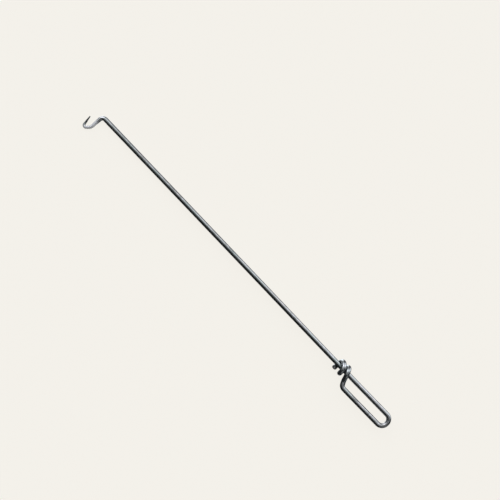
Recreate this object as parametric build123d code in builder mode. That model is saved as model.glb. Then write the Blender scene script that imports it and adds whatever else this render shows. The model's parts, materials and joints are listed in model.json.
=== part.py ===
from build123d import *
import os
from math import cos, exp, radians, sin

# Hook tool bent from one steel wire: a tapered hook, a straight shaft, and a loop handle closed by
# nearly two turns round the shaft. Each stretch of the wire is a sub-part of its own.
# The tool's own directions start on the shaft's axis, under the middle of the wrap: X along the
# shaft toward the hook, Y toward the side that the hook and the loop stand on, and Z square to the
# flat of the tool.

# ---- wire ----
wire_diameter = 2.7
arm_root_diameter = 2.3  # from the neck on the wire is drawn down, stretch by stretch
arm_end_diameter = 1.9
crown_start_diameter = 1.8
crown_end_diameter = 1.75
point_root_diameter = 1.45
point_diameter = 0.6
point_rounding = 0.28

# ---- hook, corner by corner ----
shaft_reach = 183.2  # wrap middle to the neck's corner
neck_turn = 88.0
neck_radius = 2.1
arm_length = 8.5
arm_turn = 43.0  # first, wider part of the return bend
arm_radius = 3.0
crown_length = 4.7
crown_turn = 125.0  # second, tighter part
crown_radius = 1.1
point_length = 7.3

# ---- loop handle ----
kink_reach = -2.4  # the loop leaves the shaft's line inside the wrap
kink_angle = 0.55
kink_radius = 100.0
loop_reach = -38.95
loop_radius = 3.4
rail_spacing = 7.1
heel_reach = -8.3
heel_radius = 2.6
lift_reach = -6.7  # where the heel leg starts to climb over the shaft
lift_radius = 2.5

# ---- wrap ----
wrap_clearance = 0.03  # between the shaft and the turns on it
turn_step = 45  # degrees from one corner of the coil to the next
turn_start = -5.95
turn_pitch = 4.15
turn_sway = 0.5  # the turns cross the top on a slant, and the underside almost square
turn_lag = 1.0  # the second crossing lies closer to the first than an even coil would
lag_angle = 460
lag_spread = 50
cut_angle = 700  # where the wire is sheared off, counted from the loop's side over the top

# ---- how the tool lies: on the wrap, on the neck and on the hook's return bend ----
rest_tilt = 0.87
rest_roll = -2.28
rest_height = 4.103  # of the wrap's middle
middle_reach = 74.0  # wrap middle to the middle of the tool's length
middle_side = 3.632  # wrap middle to the middle of the tool's width

wire_radius = wire_diameter / 2
wrap_radius = wire_diameter + wrap_clearance
coil_corner_radius = wrap_radius / cos(radians(turn_step / 2))
coil_bend_radius = 0.97 * wrap_radius
corners_per_turn = round(360 / turn_step)


def step(point, heading, length):
    """The point at a length from another, along a heading in the flat of the tool."""
    return (point[0] + length * cos(radians(heading)), point[1] + length * sin(radians(heading)), 0)


def coil_point(angle, radius):
    """A point of the coil. The angle rises along the wire, over the top first."""
    lag = turn_lag * exp(-(((angle - lag_angle) / lag_spread) ** 2))
    reach = turn_start + turn_pitch * angle / 360 - turn_sway * cos(radians(angle)) - lag
    return (reach, radius * cos(radians(angle)), radius * sin(radians(angle)))


# ---- corners of the hook ----
wrap_middle = (0, 0, 0)
neck_corner = (shaft_reach, 0, 0)
arm_corner = step(neck_corner, neck_turn, arm_length)
crown_corner = step(arm_corner, neck_turn - arm_turn, crown_length)
point_end = step(crown_corner, neck_turn - arm_turn - crown_turn, point_length)

# ---- corners of the handle ----
kink = (kink_reach, 0, 0)
rail_heading = 180 + kink_angle
inner_rail_length = (kink_reach - loop_reach) / cos(radians(kink_angle))
outer_rail_length = (heel_reach - loop_reach) / cos(radians(kink_angle))
inner_loop_corner = step(kink, rail_heading, inner_rail_length)
outer_loop_corner = step(inner_loop_corner, rail_heading - 90, rail_spacing)
heel_corner = step(outer_loop_corner, rail_heading - 180, outer_rail_length)
lift_corner = (lift_reach, wrap_radius / cos(radians(turn_step)), 0)

# ---- corners of the coil, and the point where it is cut on its last side ----
coil_angles = [turn_step * (number + 1.5) for number in range(cut_angle // turn_step - 1)]
coil_corners = [coil_point(angle, coil_corner_radius) for angle in coil_angles]
past_side_middle = cut_angle - coil_angles[-1] - turn_step / 2
cut_point = coil_point(cut_angle, wrap_radius / cos(radians(past_side_middle)))

# ---- centreline of the whole wire, in two runs from the middle of the wrap ----
tool = Plane(origin=(-middle_reach, -middle_side, rest_height)).rotated((rest_roll, rest_tilt, 0))

with BuildLine(tool) as hook_line:
    hook_run = FilletPolyline(
        wrap_middle,
        neck_corner,
        arm_corner,
        crown_corner,
        point_end,
        radius=[neck_radius, arm_radius, crown_radius],
    )

with BuildLine(tool) as handle_line:
    handle_run = FilletPolyline(
        wrap_middle,
        kink,
        inner_loop_corner,
        outer_loop_corner,
        heel_corner,
        lift_corner,
        *coil_corners,
        cut_point,
        radius=[kink_radius, loop_radius, loop_radius, heel_radius, lift_radius]
        + [coil_bend_radius] * len(coil_corners),
    )

shaft_run, neck_arc, arm_run, arm_arc, crown_run, crown_arc, point_run = hook_run.order_edges()
handle_edges = handle_run.order_edges()


def square_to(line, share):
    """The plane square to the wire, at a share of a line's length."""
    return Plane(line @ share, z_dir=line % share)


def square_in_tool(line, share):
    """The same, turned alike all along the hook, so that a tapered stretch doesn't twist."""
    return Plane(line @ share, x_dir=tool.z_dir, z_dir=line % share)


os.makedirs("parts", exist_ok=True)

# ---- shaft ----
with BuildPart() as shaft:
    with BuildSketch(square_to(shaft_run, 0)):
        Circle(wire_radius)
    sweep(path=shaft_run)
shaft.part.label = "shaft"
export_step(shaft.part, "parts/shaft.step")

# ---- neck bend: full section at the shaft, drawn down at the arm ----
with BuildPart() as neck_bend:
    with BuildSketch(square_in_tool(neck_arc, 0)):
        Circle(wire_radius)
    with BuildSketch(square_in_tool(neck_arc, 1)):
        Circle(arm_root_diameter / 2)
    sweep(path=neck_arc, multisection=True)
neck_bend.part.label = "neck_bend"
export_step(neck_bend.part, "parts/neck_bend.step")

# ---- hook arm ----
with BuildPart() as hook_arm:
    with BuildSketch(square_in_tool(arm_run, 0)):
        Circle(arm_root_diameter / 2)
    with BuildSketch(square_in_tool(arm_run, 1)):
        Circle(arm_end_diameter / 2)
    loft()
hook_arm.part.label = "hook_arm"
export_step(hook_arm.part, "parts/hook_arm.step")

# ---- hook bend: a wide arc, a short straight crown and a tight arc ----
with BuildPart() as hook_bend:
    with BuildSketch(square_in_tool(arm_arc, 0)):
        Circle(arm_end_diameter / 2)
    with BuildSketch(square_in_tool(arm_arc, 1)):
        Circle(crown_start_diameter / 2)
    sweep(path=arm_arc, multisection=True)
    with BuildSketch(square_in_tool(crown_run, 0)):
        Circle(crown_start_diameter / 2)
    with BuildSketch(square_in_tool(crown_run, 1)):
        Circle(crown_end_diameter / 2)
    loft()
    with BuildSketch(square_in_tool(crown_arc, 0)):
        Circle(crown_end_diameter / 2)
    with BuildSketch(square_in_tool(crown_arc, 1)):
        Circle(point_root_diameter / 2)
    sweep(path=crown_arc, multisection=True)
hook_bend.part.label = "hook_bend"
export_step(hook_bend.part, "parts/hook_bend.step")

# ---- hook point, tapered to a rounded end ----
with BuildPart() as hook_point:
    with BuildSketch(square_in_tool(point_run, 0)):
        Circle(point_root_diameter / 2)
    with BuildSketch(square_in_tool(point_run, 1)):
        Circle(point_diameter / 2)
    loft()
    end_face = hook_point.faces().sort_by(point_run)[-1]
    fillet(end_face.edges(), point_rounding)
hook_point.part.label = "hook_point"
export_step(hook_point.part, "parts/hook_point.step")

# ---- stretches of full section, from the middle of the wrap round the handle to the cut end ----
# Straight runs and arcs follow each other along the wire. The leg ends at the coil's first arc.
edges_per_turn = 2 * corners_per_turn
turns_start = len(handle_edges) - 2 * len(coil_corners)
cut_start = len(handle_edges) - 2
stretches = {
    "inner_rail": handle_edges[0:3],
    "loop_end": handle_edges[3:6],
    "outer_rail": handle_edges[6:7],
    "heel_bend": handle_edges[7:8],
    "heel_leg": handle_edges[8:turns_start],
    "first_turn": handle_edges[turns_start : turns_start + edges_per_turn],
    "second_turn": handle_edges[turns_start + edges_per_turn : cut_start],
    "cut_end": handle_edges[cut_start:],
}
for name, edges in stretches.items():
    with BuildPart() as stretch:
        with BuildSketch(square_to(edges[0], 0)):
            Circle(wire_radius)
        sweep(path=Wire(edges))
    stretch.part.label = name
    export_step(stretch.part, f"parts/{name}.step")
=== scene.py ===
import json
from collections import namedtuple
from math import ceil, cos, exp, pi, radians, sin, tan

import bmesh
import bpy
import numpy as np
from mathutils import Matrix, Vector, noise


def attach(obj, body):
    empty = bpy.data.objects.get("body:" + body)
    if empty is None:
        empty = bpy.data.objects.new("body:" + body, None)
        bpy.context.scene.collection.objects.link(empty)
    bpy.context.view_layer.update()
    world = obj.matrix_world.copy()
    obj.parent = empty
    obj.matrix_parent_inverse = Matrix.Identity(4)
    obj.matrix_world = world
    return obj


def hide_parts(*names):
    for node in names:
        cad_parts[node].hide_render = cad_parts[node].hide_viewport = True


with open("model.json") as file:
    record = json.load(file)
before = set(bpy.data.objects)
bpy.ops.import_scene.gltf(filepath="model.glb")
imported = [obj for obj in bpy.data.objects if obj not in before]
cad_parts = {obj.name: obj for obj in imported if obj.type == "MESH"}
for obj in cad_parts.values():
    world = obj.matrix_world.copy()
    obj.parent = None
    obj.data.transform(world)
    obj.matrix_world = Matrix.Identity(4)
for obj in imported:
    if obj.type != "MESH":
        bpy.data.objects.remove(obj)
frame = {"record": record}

# A hook tool bent from one bright steel wire. The wire is laid out ring by ring along its
# centreline, from the hook's point to the sheared end of the wrap, and then divided into one piece
# for each stretch in the frame. Lengths are in millimetres, in the tool's own directions, until a
# mesh is made: X along the shaft toward the hook, Y toward the side that the hook and the loop
# stand on, Z square to the flat of the tool, from the shaft's axis in the middle of the wrap. A
# reach is a place along X. Angles are in degrees.
METRES = 0.001

# ---- wire ----
wire_diameter = 2.7
arm_root_diameter = 2.3
arm_end_diameter = 1.9
crown_start_diameter = 1.8
crown_end_diameter = 1.75
point_root_diameter = 1.45
point_diameter = 0.6

# ---- hook, corner by corner: how far the wire turns, and how far off the next corner is ----
shaft_reach = 183.2
neck_turn = 88.0
neck_radius = 2.1
arm_length = 8.5
arm_turn = 43.0
arm_radius = 3.0
crown_length = 4.7
crown_turn = 125.0
crown_radius = 1.1
point_length = 7.3

# ---- loop handle: two rails, a round end, and a heel that turns the wire back to the shaft ----
kink_reach = -2.4  # inside the wrap, where the rails' slight lean from the shaft starts
kink_angle = 0.55
kink_radius = 100.0
loop_reach = -38.95
loop_radius = 3.4
rail_spacing = 7.1
heel_reach = -8.3
heel_radius = 2.6
lift_reach = -6.7  # where the wire starts to climb over the shaft
lift_radius = 2.5

# ---- wrap, a coil round the shaft ----
wrap_clearance = 0.03
turn_step = 45  # between the coil's corners
first_corner = 1.5 * turn_step
coil_bend_share = 0.97  # the corners' bend radius in wrap radii, which leaves short straights
turn_start = -5.95
turn_pitch = 4.15
turn_sway = 0.5  # the turns lean: toward the loop on the hook's side, and back on the other
turn_lag = 1.0  # the second crossing lies this much closer to the first than in an even coil
lag_angle = 460
lag_spread = 50
cut_angle = 700  # round the shaft from the coil's start to the sheared end

# ---- mesh ----
run_spacing = 0.4
arc_spacing = 0.1
sides = 48
skin = 0.002  # the rings lie this far inside the frame's surface
tip_rings = 8
rim_rings = 5
rim_radius = 0.22  # the sheared end's rolled edge
end_clearance = 1.5  # a run's rings keep this many radii clear of its rounded end
face_shares = (0.8, 0.6, 0.4, 0.2)  # rings on the sheared face, as shares of its radius
least_strain = 1e-9  # keeps the strain of a straight run off zero

# ---- what bending, drawing and shearing did to the wire ----
outer_flattening = 0.05  # share of the radius lost on the outside of a bend, at full strain
inner_flattening = 0.02
strain_spread = 0.7  # how far a bend's strain fades into the runs beside it
taper_spread = 0.5  # how far a change of taper is smoothed
waviness = 0.02  # depth of the dips from drawing and handling
wave_length = 7.0
wave_width = 1.6
jaw_mark_depth = 0.02
jaw_mark_width = 0.11
jaw_mark_spacing = 0.55
jaw_mark_count = 5
jaw_mark_narrowness = 6  # how closely the marks keep to the two sides that the jaws pressed
jaw_bend_radius = 5.4  # bends tighter than this were made with pliers
jaw_bend_rise = 0.01  # and only bends that lie this flat
shear_slant = 0.16  # how far the sheared face falls away across the wire
shear_step = 0.05  # height between its smooth part and its torn part
torn_start = 0.1  # where the torn part starts, in radii from the middle of the face
torn_suddenness = 14.0
torn_grain = 4.0  # features per millimetre
rim_firmness = 4  # how well the rolled rim keeps its shape under the slant
crevice_reach = 0.9  # the wire is painted dark, as shade, where two stretches of it are closer than this
own_reach = 5.4  # nearer than this along the wire, they are one stretch
wrap_zone = 12.0  # the wrap's crossings all lie this close to its middle, along the shaft

# ---- where the surface differs ----
ground_stretches = 3  # the point, the bend and the arm were ground to their taper
ground_fade = 4.0  # the grinding marks fade out over this length before the neck
point_to_bend_fade = 1.2  # over this length the point, painted dark as shade, turns into the matt bend, painted near white as a reflection
arm_rubbing_and_reflection_fade = 3.0  # and over this one the arm's rubbing and painted reflection drop to the neck's
neck_rubbing_and_reflection = 0.4  # the share of the rubbing and painted reflection that is left at the neck
neck_rubbing_and_reflection_reach = 16.0  # it is gone this far past the neck
sheared_rim_rings = 2  # the sheared look starts this many rings before the rim's end
oxide_side_rings = 4  # oxide covers the sheared end, from this many rings before its rim
bright_face_rings = 2  # to this many rings short of the middle of its face

# ---- stage ----
floor_radius = 3.0  # in metres
floor_gap = 0.02  # between the table and the tool
floor_colour = (0.8963, 0.8714, 0.8148)
table_glow = 0.952  # the table is lit from within, so the tool's shadow on it is faint
table_lit_share = 0.12
backdrop_glow = 1.0
room_colour = (0.9, 1.0, 1.05)
room_glow = 0.02
# Where the first nine soft boxes stand, and the strengths and colours that they started from, are the
# output of a fit of the rendered wire to the photograph. They weren't chosen by hand.
soft_boxes = {
    # place in the view: direction (right, up, toward the camera), softness, strength, colour
    "above, the main light": ((-0.26, 0.81, 0.53), 20.0, 2.8, (0.98, 0.98, 1.06)),
    "above, far behind": ((-0.16, 0.50, -0.85), 21.0, 2.2, (0.95, 1, 1.06)),
    "right": ((0.95, 0.31, 0.0), 21.0, 2.2, (0.96, 0.98, 1.08)),
    "upper right, in front": ((0.69, 0.50, 0.53), 21.0, 1.4, (1.0, 0.98, 1.02)),
    "below, in front": ((0.28, -0.85, 0.45), 21.0, 0.34, (1, 1, 1)),
    "above, behind": ((-0.28, 0.85, -0.45), 21.0, 0.83, (1.0, 0.97, 1.0)),
    "below, behind": ((0.26, -0.81, -0.53), 21.0, 0.21, (0.9, 1.0, 1.1)),
    "over the camera": ((0.16, 0.50, 0.85), 20.0, 0.62, (0.92, 1, 1.02)),
    "left of the camera": ((-0.43, 0.31, 0.85), 20.0, 0.41, (0.95, 1.0, 0.98)),
    "right of the camera": ((0.30, -0.08, 0.95), 11.0, 0.8, (1.0, 0.98, 1.04)),
}

# ---- view: square onto the flat of the tool ----
view_distance = 500.0
view_width = 265.8  # across the picture, at the tool
view_reach = 77.95  # along the shaft, from the wrap's middle to the middle of the view
view_side = -7.84
view_turn = 46.43  # the shaft's slant across the view
sensor_width = 36.0

grip_reach = 90.0  # from the wrap's middle to the mount on the shaft

wire_radius = wire_diameter / 2
tip_radius = point_diameter / 2
wrap_radius = wire_diameter + wrap_clearance
coil_corner_radius = wrap_radius / cos(radians(turn_step / 2))
coil_bend_radius = coil_bend_share * wrap_radius

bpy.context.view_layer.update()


# ============================== where the wire runs ==============================

Leg = namedtuple("Leg", "start heading inward radius length")
Wire = namedtuple("Wire", "centre heading bend radius distance first_ring")


def step(point, heading, length):
    """The point that lies a length from another, along a heading in the flat of the tool."""
    return point + Vector((cos(radians(heading)), sin(radians(heading)), 0)) * length


def coil_point(angle, radius):
    """A point of the coil. The angle rises along the wire, over the front of the shaft first."""
    lag = turn_lag * exp(-(((angle - lag_angle) / lag_spread) ** 2))
    reach = turn_start + turn_pitch * angle / 360 - turn_sway * cos(radians(angle)) - lag
    return Vector((reach, radius * cos(radians(angle)), radius * sin(radians(angle))))


def hook_corners():
    """Corners from the point to the neck."""
    neck = Vector((shaft_reach, 0, 0))
    arm = step(neck, neck_turn, arm_length)
    crown = step(arm, neck_turn - arm_turn, crown_length)
    point = step(crown, neck_turn - arm_turn - crown_turn, point_length)
    return [point, crown, arm, neck]


def handle_corners():
    """Corners from the kink inside the wrap, round the loop, to where the wire starts to climb."""
    rail_heading = 180 + kink_angle
    kink = Vector((kink_reach, 0, 0))
    inner_corner = step(kink, rail_heading, (kink_reach - loop_reach) / cos(radians(kink_angle)))
    outer_corner = step(inner_corner, rail_heading - 90, rail_spacing)
    outer_rail_length = (heel_reach - loop_reach) / cos(radians(kink_angle))
    heel = step(outer_corner, rail_heading - 180, outer_rail_length)
    lift = Vector((lift_reach, wrap_radius / cos(radians(turn_step)), 0))
    return [kink, inner_corner, outer_corner, heel, lift]


def coil_corners():
    """Corners of the turns round the shaft."""
    angles = [first_corner + turn_step * number for number in range(cut_angle // turn_step - 1)]
    return [coil_point(angle, coil_corner_radius) for angle in angles]


def cut_point():
    """Where the wire is sheared off, a little past the middle of the coil's last side."""
    last_side_middle = turn_step * (cut_angle // turn_step)
    return coil_point(cut_angle, wrap_radius / cos(radians(cut_angle - last_side_middle)))


def rounded_path(corners, radii):
    """Straight legs and tangent arcs through corners. A corner of radius 0 only divides a run."""
    legs = []
    start = corners[0]
    for before, corner, after, radius in zip(corners, corners[1:], corners[2:], radii):
        heading = (corner - before).normalized()
        next_heading = (after - corner).normalized()
        turn = heading.angle(next_heading)
        tangent_length = radius * tan(turn / 2)
        arc_start = corner - heading * tangent_length
        legs.append(Leg(start, heading, Vector(), 0, (arc_start - start).length))
        if radius:
            inward = (next_heading - heading * cos(turn)).normalized()
            legs.append(Leg(arc_start, heading, inward, radius, radius * turn))
        start = corner + next_heading * tangent_length
    last_run = corners[-1] - start
    legs.append(Leg(start, last_run.normalized(), Vector(), 0, last_run.length))
    return legs


def place_on(leg, length):
    """Point, heading and direction to the bend's centre, at a length along a leg."""
    if not leg.radius:
        return leg.start + leg.heading * length, leg.heading, Vector()
    angle = length / leg.radius
    point = leg.start + (leg.heading * sin(angle) + leg.inward * (1 - cos(angle))) * leg.radius
    heading = leg.heading * cos(angle) + leg.inward * sin(angle)
    inward = leg.inward * cos(angle) - leg.heading * sin(angle)
    return point, heading, inward


# ============================== rings along the wire ==============================

def ring_lengths(leg, is_first, is_last):
    """Lengths along a leg at which it has rings. The next leg's first ring closes the leg."""
    spacing = arc_spacing if leg.radius else run_spacing
    count = max(2, ceil(leg.length / spacing))
    lengths = [leg.length * number / count for number in range(count)]
    if is_first:
        angles = [pi / 2 * (number + 1) / tip_rings for number in range(tip_rings)]
        tip_lengths = [tip_radius * (1 - cos(angle)) for angle in angles]
        lengths = tip_lengths + [length for length in lengths if length > end_clearance * tip_radius]
    if is_last:
        lengths = [length for length in lengths if length < leg.length - end_clearance * rim_radius]
        lengths.append(leg.length - rim_radius)
    return lengths


def spread(values, distance, width):
    """Values along the wire, each averaged with its neighbours under a bell curve."""
    gaps = (distance[:, None] - distance[None, :]) / width
    weights = np.exp(-0.5 * gaps * gaps) * np.gradient(distance)[None, :]
    weights /= weights.sum(axis=1)[:, None]
    return weights @ values


def lay_rings(legs, diameters):
    """Every ring's centre, heading, bend and plain radius, and each leg's first ring."""
    centre, heading, bend, radius, distance, first_ring = [], [], [], [], [], []
    travelled = 0
    for number, leg in enumerate(legs):
        first_ring.append(len(centre))
        for length in ring_lengths(leg, number == 0, number == len(legs) - 1):
            point, along, inward = place_on(leg, length)
            near, far = diameters[number], diameters[number + 1]
            section = (near + (far - near) * length / leg.length) / 2
            centre.append(point)
            heading.append(along)
            bend.append(inward * (section / leg.radius) if leg.radius else Vector())
            radius.append(section)
            distance.append(travelled + length)
        travelled += leg.length
    first_ring.append(len(centre) - 1)
    distance = np.array(distance)
    bend = spread(np.array(bend), distance, strain_spread)
    radius = np.minimum(spread(np.array(radius), distance, taper_spread), radius)
    from_end = np.minimum(distance / tip_radius, 1)
    radius *= np.sqrt(from_end * (2 - from_end))
    return Wire(np.array(centre), np.array(heading), bend, radius, distance, first_ring)


def ring_directions(wire):
    """Outward directions round every ring, turning as little as they can along the wire."""
    upward = np.array((0.0, 0.0, 1.0))
    directions = []
    turns = np.arange(sides) * 2 * pi / sides
    for heading in wire.heading:
        upward = upward - heading * (upward @ heading)
        upward /= np.linalg.norm(upward)
        sideways = np.cross(heading, upward)
        directions.append(np.outer(np.cos(turns), upward) + np.outer(np.sin(turns), sideways))
    return np.array(directions)


def straight_places(wire):
    """Where each point would lie on the straight wire before it was bent: along and round it."""
    turns = np.arange(sides) * 2 * pi / sides
    places = np.empty((len(wire.distance), sides, 3))
    places[:, :, 0] = wire.distance[:, None]
    places[:, :, 1] = wire.radius[:, None] * np.cos(turns)
    places[:, :, 2] = wire.radius[:, None] * np.sin(turns)
    return places


def flattening(wire, outward):
    """Share of the radius that a bend takes, most on its outside."""
    toward_centre = np.einsum("rsk,rk->rs", outward, wire.bend)
    strain = np.linalg.norm(wire.bend, axis=1)[:, None] + least_strain
    outside = np.clip(-toward_centre / strain, 0, 1) ** 2
    inside = np.clip(toward_centre / strain, 0, 1) ** 2
    return strain * (outer_flattening * outside + inner_flattening * inside)


def unevenness(places):
    """Gentle dips from drawing and handling, from 0 to 1."""
    scale = np.array((1 / wave_length, 1 / wave_width, 1 / wave_width))
    flat = (places * scale).reshape(-1, 3)
    dips = np.array([noise.noise(Vector(place)) for place in flat])
    return np.clip(0.5 + 0.5 * dips, 0, 1).reshape(places.shape[:2])


def jaw_marks(wire, legs, outward):
    """Depth of the rows of shallow grooves that pliers left across the flat sides of sharp bends."""
    depth = np.zeros(outward.shape[:2])
    facing_jaws = np.abs(outward[:, :, 2]) ** jaw_mark_narrowness
    for number, leg in enumerate(legs):
        gripped = 0 < leg.radius < jaw_bend_radius and abs(leg.inward.z) < jaw_bend_rise
        if not gripped or leg.length < jaw_mark_spacing * jaw_mark_count:
            continue
        middle = wire.distance[wire.first_ring[number]] + leg.length / 2
        for groove in range(jaw_mark_count):
            place = middle + (groove - (jaw_mark_count - 1) / 2) * jaw_mark_spacing
            profile = np.exp(-(((wire.distance - place) / jaw_mark_width) ** 2))
            depth += jaw_mark_depth * profile[:, None] * facing_jaws
    return depth


def sheared_end(wire, outward, last_radius):
    """Rings that roll over the end's rim and cross its sheared face, and the face's middle."""
    centre, heading = wire.centre[-1], wire.heading[-1]
    rings = []
    for number in range(rim_rings):
        angle = pi / 2 * (number + 1) / rim_rings
        rise = rim_radius * sin(angle)
        ring_radius = (last_radius - rim_radius * (1 - cos(angle)))[:, None]
        rings.append(centre + heading * rise + outward[-1] * ring_radius)
    face_radius = (last_radius - rim_radius)[:, None]
    for share in face_shares:
        rings.append(centre + heading * rim_radius + outward[-1] * face_radius * share)
    rings = np.array(rings)
    across = (rings - centre) @ outward[-1][0] / wire_radius
    torn = 1 / (1 + np.exp(-torn_suddenness * (across - torn_start)))
    rough = np.array([[noise.noise(Vector(point) * torn_grain) for point in ring] for ring in rings])
    on_face = np.clip((rings - centre) @ heading / rim_radius, 0, 1) ** rim_firmness
    sink = shear_slant * (0.5 + 0.5 * across) + shear_step * torn * (1 + rough)
    rings = rings - heading * (sink * on_face)[:, :, None]
    return rings, rings[-1].mean(axis=0)


def crevices(points, wire, ring_of_point):
    """1 where a point touches another stretch of the wire, falling to 0 a little way off."""
    in_wrap = np.abs(wire.centre[:, 0]) < wrap_zone
    rows = in_wrap[ring_of_point]
    centres = wire.centre[in_wrap]
    asked = points[rows].reshape(-1, 3)
    squares = (asked**2).sum(1)[:, None] + (centres**2).sum(1)[None, :] - 2 * asked @ centres.T
    gap = np.sqrt(np.maximum(squares, 0)) - wire.radius[in_wrap][None, :]
    own_distance = np.repeat(wire.distance[ring_of_point][rows], sides)
    along = np.abs(own_distance[:, None] - wire.distance[in_wrap][None, :])
    gap[along < own_reach] = crevice_reach
    closeness = np.clip(1 - gap.min(axis=1) / crevice_reach, 0, 1)
    found = np.zeros(points.shape[:2])
    found[rows] = closeness.reshape(-1, sides)
    return found


# ============================== pieces ==============================

Skin = namedtuple("Skin", "points normals tip tip_normal end end_normal traits")


def side_faces(near, far):
    """The faces between two rings, given by their first points, facing outward."""
    faces = []
    for side in range(sides):
        after = (side + 1) % sides
        faces.append((near + side, near + after, far + after, far + side))
    return faces


def start_faces(ring, middle):
    """The fan that closes a piece's first ring."""
    return [(ring + (side + 1) % sides, ring + side, middle) for side in range(sides)]


def far_faces(ring, middle):
    """The fan that closes a piece's last ring."""
    return [(ring + side, ring + (side + 1) % sides, middle) for side in range(sides)]


def smooth_normals(rings, tip, end):
    """Normals of the whole closed wire, so that the pieces cut from it meet without a seam."""
    count = len(rings)
    points = np.vstack([rings.reshape(-1, 3), tip, end])
    faces = []
    for row in range(count - 1):
        faces += side_faces(row * sides, (row + 1) * sides)
    faces += start_faces(0, count * sides)
    faces += far_faces((count - 1) * sides, count * sides + 1)
    mesh = bpy.data.meshes.new("whole_wire")
    mesh.from_pydata(points.tolist(), [], faces)
    normals = np.empty(len(points) * 3, np.float32)
    mesh.vertex_normals.foreach_get("vector", normals)
    bpy.data.meshes.remove(mesh)
    normals = normals.reshape(-1, 3)
    return normals[:-2].reshape(rings.shape), normals[-2], normals[-1]


def surface_traits(wire, points, straight_places_of_rings, ring_traits):
    """What the material has to know about each point of the surface."""
    wire_count, count = len(wire.distance), len(points)
    wire_ring = np.minimum(np.arange(count), wire_count - 1)
    straight = straight_places_of_rings[wire_ring]
    # across the sheared end, the patterns follow its own surface
    straight[wire_count:, :, 1:] = (points[wire_count:] - wire.centre[-1])[:, :, 1:]
    sheared = np.zeros(points.shape[:2])
    sheared[wire_count + rim_rings - sheared_rim_rings:] = 1
    oxidised = np.zeros(points.shape[:2])
    oxidised[wire_count - oxide_side_rings:-bright_face_rings] = 1
    traits = {
        "straight": straight,
        "crevice": crevices(points, wire, wire_ring),
        "sheared": sheared,
        "oxidised": oxidised,
    }
    for name, values in ring_traits.items():
        traits[name] = np.repeat(values[wire_ring][:, None], sides, axis=1)
    return traits


def traits_along(wire, bend_start, ground_end):
    """Traits that change only along the wire: ground, rubbed matt and painted bright as a reflection,
    painted dark as shade at the point, and strained.
    """
    from_point = np.clip((wire.distance - bend_start) / point_to_bend_fade, 0, 1)
    to_neck = np.clip((ground_end - wire.distance) / arm_rubbing_and_reflection_fade, 0, 1)
    past_neck = np.clip((wire.distance - ground_end) / neck_rubbing_and_reflection_reach, 0, 1)
    return {
        "ground": np.clip((ground_end - wire.distance) / ground_fade, 0, 1),
        "rubbed": from_point * np.maximum(to_neck, neck_rubbing_and_reflection * (1 - past_neck)),
        "dulled": np.clip((bend_start - wire.distance) / point_to_bend_fade, 0, 1),
        "strain": np.linalg.norm(wire.bend, axis=1),
    }


def whole_skin(wire, legs, ring_traits):
    """The surface of the whole wire, ring by ring."""
    outward = ring_directions(wire)
    places = straight_places(wire)
    slimness = np.clip(wire.radius / wire_radius, 0, 1)[:, None]
    dips = (waviness * unevenness(places) + jaw_marks(wire, legs, outward)) * slimness
    radius = wire.radius[:, None] * (1 - flattening(wire, outward)) - dips - skin * slimness
    rings = wire.centre[:, None, :] + outward * radius[:, :, None]
    end_rings, end = sheared_end(wire, outward, radius[-1])
    points = np.concatenate([rings, end_rings])
    tip = wire.centre[0] - wire.heading[0] * wire.distance[0]
    normals, tip_normal, end_normal = smooth_normals(points, tip, end)
    traits = surface_traits(wire, points, places, ring_traits)
    return Skin(points, normals, tip, tip_normal, end, end_normal, traits)


def add_traits(mesh, traits, first, last):
    """Stores the traits of a piece's rings on its mesh, and each end ring's mean on its middle."""
    for name, values in traits.items():
        if values.ndim == 3:
            kind, field, parts = "FLOAT_VECTOR", "vector", 3
        else:
            kind, field, parts = "FLOAT", "value", 1
        own = values[first:last + 1].reshape(-1, parts)
        middles = [values[row].reshape(-1, parts).mean(axis=0) for row in (first, last)]
        stored = np.vstack([own, middles]).astype(np.float32).ravel()
        mesh.attributes.new(name, kind, "POINT").data.foreach_set(field, stored)


def corner_normals(faces, smooth, flat_start, flat_far):
    """A normal for each corner of each face: smooth walls, and flat ends where pieces meet."""
    normals = [smooth[list(face)] for face in faces]
    for number in range(sides):
        if flat_start is not None:
            normals[-2 * sides + number] = np.tile(flat_start, (3, 1))
        if flat_far is not None:
            normals[-sides + number] = np.tile(flat_far, (3, 1))
    return np.vstack(normals)


def make_piece(name, wire, surface, first, last, to_frame, material):
    """One closed stretch of the wire, from one ring to another, in metres in the row frame."""
    points, normals = surface.points, surface.normals
    has_tip, has_end = first == 0, last == len(points) - 1
    start_middle = surface.tip if has_tip else points[first].mean(axis=0)
    far_middle = surface.end if has_end else points[last].mean(axis=0)
    vertices = np.vstack([points[first:last + 1].reshape(-1, 3), start_middle, far_middle])
    own_normals = normals[first:last + 1].reshape(-1, 3)
    smooth = np.vstack([own_normals, surface.tip_normal, surface.end_normal])

    faces = []
    for row in range(last - first):
        faces += side_faces(row * sides, (row + 1) * sides)
    faces += start_faces(0, len(vertices) - 2)
    faces += far_faces((last - first) * sides, len(vertices) - 1)
    flat_start = None if has_tip else -wire.heading[first]
    flat_far = None if has_end else wire.heading[last]
    turned = corner_normals(faces, smooth, flat_start, flat_far)
    turned = turned @ np.array(to_frame.to_3x3().normalized()).T

    mesh = bpy.data.meshes.new(name)
    mesh.from_pydata([to_frame @ Vector(vertex) for vertex in vertices], [], faces)
    add_traits(mesh, surface.traits, first, last)
    mesh.polygons.foreach_set("use_smooth", [True] * len(faces))
    mesh.normals_split_custom_set(turned.tolist())
    mesh.materials.append(material)
    piece = bpy.data.objects.new(name, mesh)
    bpy.context.scene.collection.objects.link(piece)
    return piece


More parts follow.
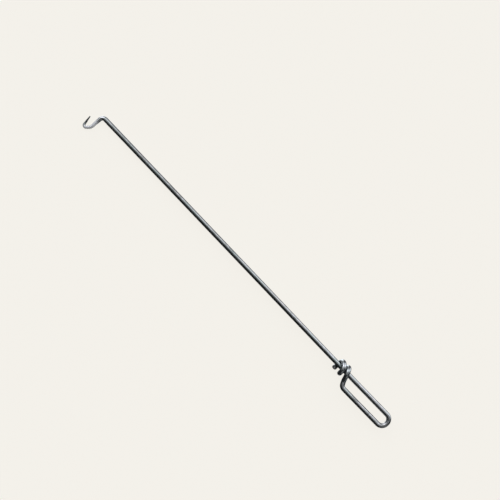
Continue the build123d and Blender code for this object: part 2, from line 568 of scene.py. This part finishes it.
def tool_placement():
    """From the tool's own directions to the row frame, by the mounts on the shaft and the loop."""
    mounts = {mount["name"]: mount for mount in frame["record"]["mounts"]}
    grip, slot = mounts["shaft_grip"], mounts["handle_slot"]
    along = Vector(grip["axis"]).normalized()
    up = Vector(slot["axis"])
    up = (up - along * up.dot(along)).normalized()
    wrap_middle = Vector(grip["pos_m"]) - along * grip_reach * METRES
    turned = Matrix((along, up.cross(along), up)).transposed().to_4x4()
    return Matrix.Translation(wrap_middle) @ turned @ Matrix.Scale(METRES, 4)


# ============================== steel ==============================

bright_steel = (0.62, 0.635, 0.65, 1)
dull_steel = (0.40, 0.43, 0.42, 1)
warm_steel = (0.58, 0.55, 0.53, 1)
green_steel = (0.47, 0.54, 0.52, 1)
# near white: the painted reflection on the hook's bend
painted_reflection_steel = (0.94, 0.95, 0.96, 1)
torn_steel = (0.62, 0.63, 0.64, 1)
oxide = (0.16, 0.165, 0.16, 1)
# near black: the painted shade on the hook's point
painted_point_shade_colour = (0.08, 0.082, 0.08, 1)
# near black: the painted shade in the gaps between the wire's turns
painted_gap_shade_colour = (0.035, 0.035, 0.034, 1)
relief_depth = 0.008  # depth of the deepest drawn line

Traits = namedtuple("Traits", "ground rubbed matt dulled strain crevice sheared oxidised")
Patterns = namedtuple(
    "Patterns", "draw_lines fine_lines cross_marks brushed peel hue mottle stain specks dirt"
)


def add_node(tree, kind, inputs=(), **settings):
    """Adds a node, with its settings, and its inputs given as values or as other nodes' outputs."""
    made = tree.nodes.new(kind)
    for name, value in settings.items():
        setattr(made, name, value)
    for socket, value in dict(inputs).items():
        if isinstance(value, bpy.types.NodeSocket):
            tree.links.new(value, made.inputs[socket])
        else:
            made.inputs[socket].default_value = value
    return made


def trait(tree, name, output="Fac"):
    """A stored trait of the surface."""
    return add_node(tree, "ShaderNodeAttribute", attribute_name=name).outputs[output]


def stretched_noise(tree, places, along, across, detail=3.0, roughness=0.55):
    """Noise on the straight wire, with so many features per millimetre along it and across it."""
    scaled = add_node(
        tree, "ShaderNodeVectorMath", {0: places, 1: (along, across, across)}, operation="MULTIPLY"
    )
    made = add_node(
        tree,
        "ShaderNodeTexNoise",
        {"Vector": scaled.outputs[0], "Scale": 1.0, "Detail": detail, "Roughness": roughness},
    )
    return made.outputs[0]


def calculate(tree, operation, first, second, third=0.0):
    """One step of arithmetic."""
    made = add_node(tree, "ShaderNodeMath", {0: first, 1: second, 2: third}, operation=operation)
    return made.outputs[0]


def add_shares(tree, total, shares):
    """A total, with values added to it, each times its own factor."""
    for value, factor in shares:
        total = calculate(tree, "MULTIPLY_ADD", value, factor, total)
    return total


def rescale(tree, value, low, high, to_low=0.0, to_high=1.0):
    """A value moved from one range into another, and kept inside it."""
    made = add_node(
        tree,
        "ShaderNodeMapRange",
        {"Value": value, "From Min": low, "From Max": high, "To Min": to_low, "To Max": to_high},
    )
    return made.outputs[0]


def mix_colours(tree, share, first, second):
    """Two colours mixed by a share."""
    made = tree.nodes.new("ShaderNodeMix")
    made.data_type = "RGBA"
    for name, value in (("Factor_Float", share), ("A_Color", first), ("B_Color", second)):
        socket = next(s for s in made.inputs if s.identifier == name)
        if isinstance(value, bpy.types.NodeSocket):
            tree.links.new(value, socket)
        else:
            socket.default_value = value
    return next(s for s in made.outputs if s.identifier == "Result_Color")


def steel_traits(tree):
    """The stored traits that say where the wire was ground, rubbed, strained, sheared and so on, and
    where reflection and shade are painted on it.
    """
    rubbed = trait(tree, "rubbed")
    return Traits(
        ground=trait(tree, "ground"),
        rubbed=rubbed,
        matt=rescale(tree, rubbed, low=neck_rubbing_and_reflection, high=1.0),
        dulled=trait(tree, "dulled"),
        strain=trait(tree, "strain"),
        crevice=trait(tree, "crevice"),
        sheared=trait(tree, "sheared"),
        oxidised=trait(tree, "oxidised"),
    )


def steel_patterns(tree, traits):
    """Uneven patterns on the wire, laid on it as it was before it was bent."""
    places = trait(tree, "straight", "Vector")
    mottle = stretched_noise(tree, places, along=0.45, across=0.8, detail=5.0, roughness=0.62)
    cloud = stretched_noise(tree, places, along=0.07, across=0.35, detail=2.0)
    speck = stretched_noise(tree, places, along=2.2, across=5.5, detail=2.0, roughness=0.7)
    clouded = rescale(tree, cloud, low=0.5, high=0.72)
    dark_mottle = rescale(tree, mottle, low=0.62, high=0.4)
    cross_marks = stretched_noise(tree, places, along=9.0, across=0.8)
    brushed = rescale(tree, cross_marks, low=0.38, high=0.62)
    # the painted shade in the gaps between the turns, with a ragged edge
    ragged_edge = calculate(tree, "MULTIPLY_ADD", mottle, 0.9, -0.45)
    painted_gap_shade_depth = calculate(tree, "ADD", traits.crevice, ragged_edge)
    return Patterns(
        draw_lines=stretched_noise(tree, places, along=0.03, across=5.0, detail=4.0),
        fine_lines=stretched_noise(tree, places, along=0.12, across=16.0, detail=2.0),
        cross_marks=cross_marks,
        brushed=calculate(tree, "MULTIPLY", brushed, traits.matt),
        peel=stretched_noise(tree, places, along=3.2, across=3.2, detail=2.0),
        hue=stretched_noise(tree, places, along=0.11, across=0.3),
        mottle=mottle,
        stain=calculate(tree, "MULTIPLY", clouded, dark_mottle),
        specks=rescale(tree, speck, low=0.66, high=0.74),
        dirt=rescale(tree, painted_gap_shade_depth, low=0.25, high=0.95, to_high=0.85),
    )


def steel_colour(tree, traits, patterns):
    """Mottled steel in faint hues, and over it, in turn, what marks it, with painted reflection and
    shade among the layers.
    """
    tone = rescale(tree, patterns.mottle, low=0.38, high=0.66)
    warmth = rescale(tree, patterns.hue, low=0.52, high=0.68, to_high=0.6)
    greenness = rescale(tree, patterns.hue, low=0.48, high=0.34, to_high=0.8)
    colour = mix_colours(tree, tone, dull_steel, bright_steel)
    colour = mix_colours(tree, warmth, colour, warm_steel)
    colour = mix_colours(tree, greenness, colour, green_steel)
    layers = [
        # where, how strong, colour
        (patterns.stain, 0.75, oxide),
        (patterns.specks, 0.6, oxide),
        # painted reflection: the hook's rubbed, matt bend is painted near white, for the bright light
        # it reflects
        (traits.rubbed, 1.0, painted_reflection_steel),
        (patterns.brushed, 0.12, bright_steel),
        # painted shade: the point is painted near black
        (traits.dulled, 0.9, painted_point_shade_colour),
        # painted shade: near black in the gaps where the wire's turns touch
        (patterns.dirt, 1.0, painted_gap_shade_colour),
        (traits.sheared, 1.0, torn_steel),
        (traits.oxidised, 0.85, oxide),
    ]
    for where, strength, layer_colour in layers:
        share = calculate(tree, "MULTIPLY", where, strength)
        colour = mix_colours(tree, share, colour, layer_colour)
    return colour


def steel_roughness(tree, traits, patterns):
    """Smooth steel that is rougher in its lines and stains, where it is rubbed or torn, and in the
    painted-dark gaps between its turns.
    """
    smooth = rescale(tree, patterns.mottle, low=0.35, high=0.7, to_low=0.11, to_high=0.22)
    lined = rescale(tree, patterns.fine_lines, low=0.4, high=0.7, to_high=0.06)
    added = [
        (lined, 1.0),
        (patterns.stain, 0.18),
        (traits.strain, 0.03),
        (traits.matt, 0.2),
        (patterns.brushed, 0.14),
        (patterns.dirt, 0.35),
        (traits.sheared, 0.25),
    ]
    return add_shares(tree, smooth, added)


def steel_metalness(tree, traits, patterns):
    """Bare metal, less so where fine scratches or torn grain scatter the light."""
    scattering = [
        (traits.matt, -0.6),
        (patterns.brushed, -0.3),
        (traits.sheared, -0.45),
    ]
    return add_shares(tree, 1.0, scattering)


def steel_relief(tree, traits, patterns):
    """Lines along the drawn wire, marks across the ground hook, pits and torn grain."""
    lines = add_shares(tree, patterns.draw_lines, [(patterns.fine_lines, 0.35)])
    drawn = calculate(tree, "SUBTRACT", 1.0, traits.ground)
    added = [
        (calculate(tree, "MULTIPLY", patterns.cross_marks, traits.ground), 2.2),
        (calculate(tree, "MULTIPLY", patterns.peel, traits.strain), 1.6),
        (patterns.specks, -0.8),
        (calculate(tree, "MULTIPLY", patterns.peel, traits.sheared), 6.0),
    ]
    return add_shares(tree, calculate(tree, "MULTIPLY", lines, drawn), added)


def steel():
    """Bright drawn wire, ground and rubbed at the hook, with a painted reflection on the hook's bend,
    painted shade on its point, and painted shade where its turns touch.
    """
    material = bpy.data.materials.new("bright_steel_wire")
    material.use_nodes = True
    tree = material.node_tree
    tree.nodes.clear()
    traits = steel_traits(tree)
    patterns = steel_patterns(tree, traits)
    relief = steel_relief(tree, traits, patterns)
    bump = add_node(
        tree,
        "ShaderNodeBump",
        {"Strength": 1.0, "Distance": relief_depth * METRES, "Height": relief},
    )
    shader = add_node(
        tree,
        "ShaderNodeBsdfPrincipled",
        {
            "Base Color": steel_colour(tree, traits, patterns),
            "Metallic": steel_metalness(tree, traits, patterns),
            "Roughness": steel_roughness(tree, traits, patterns),
            "Normal": bump.outputs[0],
        },
    )
    output = tree.nodes.new("ShaderNodeOutputMaterial")
    tree.links.new(shader.outputs[0], output.inputs[0])
    return material


# ============================== stage ==============================

def pale_material(name, glow, lit_share, colour):
    """A pale surface that is lit mostly from within, like a light table."""
    material = bpy.data.materials.new(name)
    material.use_nodes = True
    tree = material.node_tree
    tree.nodes.clear()
    shader = add_node(
        tree,
        "ShaderNodeBsdfPrincipled",
        {
            "Base Color": (*(colour[part] * lit_share for part in range(3)), 1),
            "Roughness": 1.0,
            "Specular IOR Level": 0.0,
            "Emission Color": (*colour, 1),
            "Emission Strength": glow,
        },
    )
    output = tree.nodes.new("ShaderNodeOutputMaterial")
    tree.links.new(shader.outputs[0], output.inputs[0])
    return material


def make_floor():
    """A round table top under the tool."""
    mesh = bpy.data.meshes.new("table_top")
    shape = bmesh.new()
    bmesh.ops.create_circle(shape, cap_ends=True, segments=96, radius=floor_radius)
    shape.to_mesh(mesh)
    shape.free()
    mesh.materials.append(pale_material("pale_table", table_glow, table_lit_share, floor_colour))
    floor = bpy.data.objects.new("table_top", mesh)
    floor.location.z = -floor_gap * METRES
    floor.visible_glossy = False
    floor.visible_shadow = False
    bpy.context.scene.collection.objects.link(floor)


def make_backdrop():
    """A pale dome far round the table, seen by the camera alone."""
    mesh = bpy.data.meshes.new("backdrop")
    shape = bmesh.new()
    bmesh.ops.create_uvsphere(shape, u_segments=64, v_segments=32, radius=floor_radius)
    shape.to_mesh(mesh)
    shape.free()
    mesh.materials.append(pale_material("pale_backdrop", backdrop_glow, 0.0, floor_colour))
    backdrop = bpy.data.objects.new("backdrop", mesh)
    backdrop.visible_glossy = False
    backdrop.visible_diffuse = False
    backdrop.visible_shadow = False
    backdrop.visible_transmission = False
    bpy.context.scene.collection.objects.link(backdrop)


def add_soft_box(tree, ray, frame_of_view, direction, softness, strength, colour):
    """The light that a soft box far away sends along each direction."""
    facing = (frame_of_view @ Vector(direction)).normalized()
    closeness = add_node(
        tree, "ShaderNodeVectorMath", {0: ray, 1: facing}, operation="DOT_PRODUCT"
    ).outputs["Value"]
    falloff = 1 / (1 - cos(radians(softness)))
    exponent = calculate(tree, "MULTIPLY_ADD", closeness, falloff, -falloff)
    glow = calculate(tree, "MULTIPLY", calculate(tree, "EXPONENT", exponent, 0.0), strength)
    shader = add_node(tree, "ShaderNodeBackground", {"Color": (*colour, 1), "Strength": glow})
    return shader.outputs[0]


def make_world(frame_of_view):
    """Soft boxes round a dark room. Their places are given by the view: right, up, toward it."""
    world = bpy.data.worlds.new("studio")
    world.use_nodes = True
    tree = world.node_tree
    tree.nodes.clear()
    ray = add_node(tree, "ShaderNodeTexCoord").outputs["Generated"]
    total = add_node(
        tree, "ShaderNodeBackground", {"Color": (*room_colour, 1), "Strength": room_glow}
    ).outputs[0]
    for direction, softness, strength, colour in soft_boxes.values():
        box = add_soft_box(tree, ray, frame_of_view, direction, softness, strength, colour)
        total = add_node(tree, "ShaderNodeAddShader", {0: total, 1: box}).outputs[0]
    output = tree.nodes.new("ShaderNodeOutputWorld")
    tree.links.new(total, output.inputs[0])
    bpy.context.scene.world = world


def view_directions(placement):
    """Right, up and toward the camera, as columns, in the row frame."""
    turned = placement.to_3x3().normalized()
    right = turned @ Vector((-cos(radians(view_turn)), -sin(radians(view_turn)), 0))
    up = turned @ Vector((sin(radians(view_turn)), -cos(radians(view_turn)), 0))
    return Matrix((right, up, right.cross(up))).transposed()


def make_camera(placement, frame_of_view):
    """Square onto the flat of the tool, with the hook at the upper left."""
    data = bpy.data.cameras.new("camera")
    data.sensor_width = sensor_width
    data.lens = sensor_width * view_distance / view_width
    data.clip_start = 0.01
    data.clip_end = 4 * floor_radius
    camera = bpy.data.objects.new("camera", data)
    place = placement @ Vector((view_reach, view_side, view_distance))
    camera.matrix_world = Matrix.Translation(place) @ frame_of_view.to_4x4()
    bpy.context.scene.collection.objects.link(camera)
    bpy.context.scene.camera = camera


# ============================== the tool ==============================

def tool_legs():
    """The straight legs and arcs of the whole wire, from the hook's point to the sheared end."""
    coil = coil_corners()
    corners = hook_corners() + [Vector()] + handle_corners() + coil + [cut_point()]
    radii = [crown_radius, arm_radius, neck_radius]
    radii += [0]  # the shaft is divided in the middle of the wrap
    radii += [kink_radius, loop_radius, loop_radius, heel_radius, lift_radius]
    radii += [coil_bend_radius] * len(coil)
    return rounded_path(corners, radii)


def wire_diameters(leg_count):
    """Diameters at the ends of the legs: drawn down toward the point, and even from the neck on."""
    tapered = [
        point_diameter,
        point_root_diameter,
        crown_end_diameter,
        crown_start_diameter,
        arm_end_diameter,
        arm_root_diameter,
    ]
    return tapered + [wire_diameter] * (leg_count + 1 - len(tapered))


def stretches_of_wire():
    """The frame's nodes in order along the wire, with the number of legs and arcs in each."""
    first_turn_legs = 2 * round(360 / turn_step)
    cut_end_legs = 2
    second_turn_legs = 2 * len(coil_corners()) - first_turn_legs - cut_end_legs
    return [
        ("hook_point", 1),
        ("hook_bend", 3),
        ("hook_arm", 1),
        ("neck_bend", 1),
        ("shaft", 1),
        ("inner_rail", 3),
        ("loop_end", 3),
        ("outer_rail", 1),
        ("heel_bend", 1),
        ("heel_leg", 3),
        ("first_turn", first_turn_legs),
        ("second_turn", second_turn_legs),
        ("cut_end", cut_end_legs),
    ]


def make_tool(placement):
    """Lays out the wire, and makes the pieces that stand for the frame's nodes."""
    legs = tool_legs()
    wire = lay_rings(legs, wire_diameters(len(legs)))
    stretches = stretches_of_wire()
    ground_legs = sum(count for name, count in stretches[:ground_stretches])
    bend_start = wire.distance[wire.first_ring[1]]
    ground_end = wire.distance[wire.first_ring[ground_legs]]
    surface = whole_skin(wire, legs, traits_along(wire, bend_start, ground_end))
    material = steel()
    leg = 0
    for name, count in stretches:
        first = wire.first_ring[leg]
        leg += count
        last = wire.first_ring[leg] if leg < len(legs) else len(surface.points) - 1
        piece = make_piece(f"{name}_wire", wire, surface, first, last, placement, material)
        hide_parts(name)
        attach(piece, "root")


placement = tool_placement()
frame_of_view = view_directions(placement)
make_tool(placement)
make_floor()
make_backdrop()
make_world(frame_of_view)
make_camera(placement, frame_of_view)
bpy.context.scene.view_settings.view_transform = "Standard"
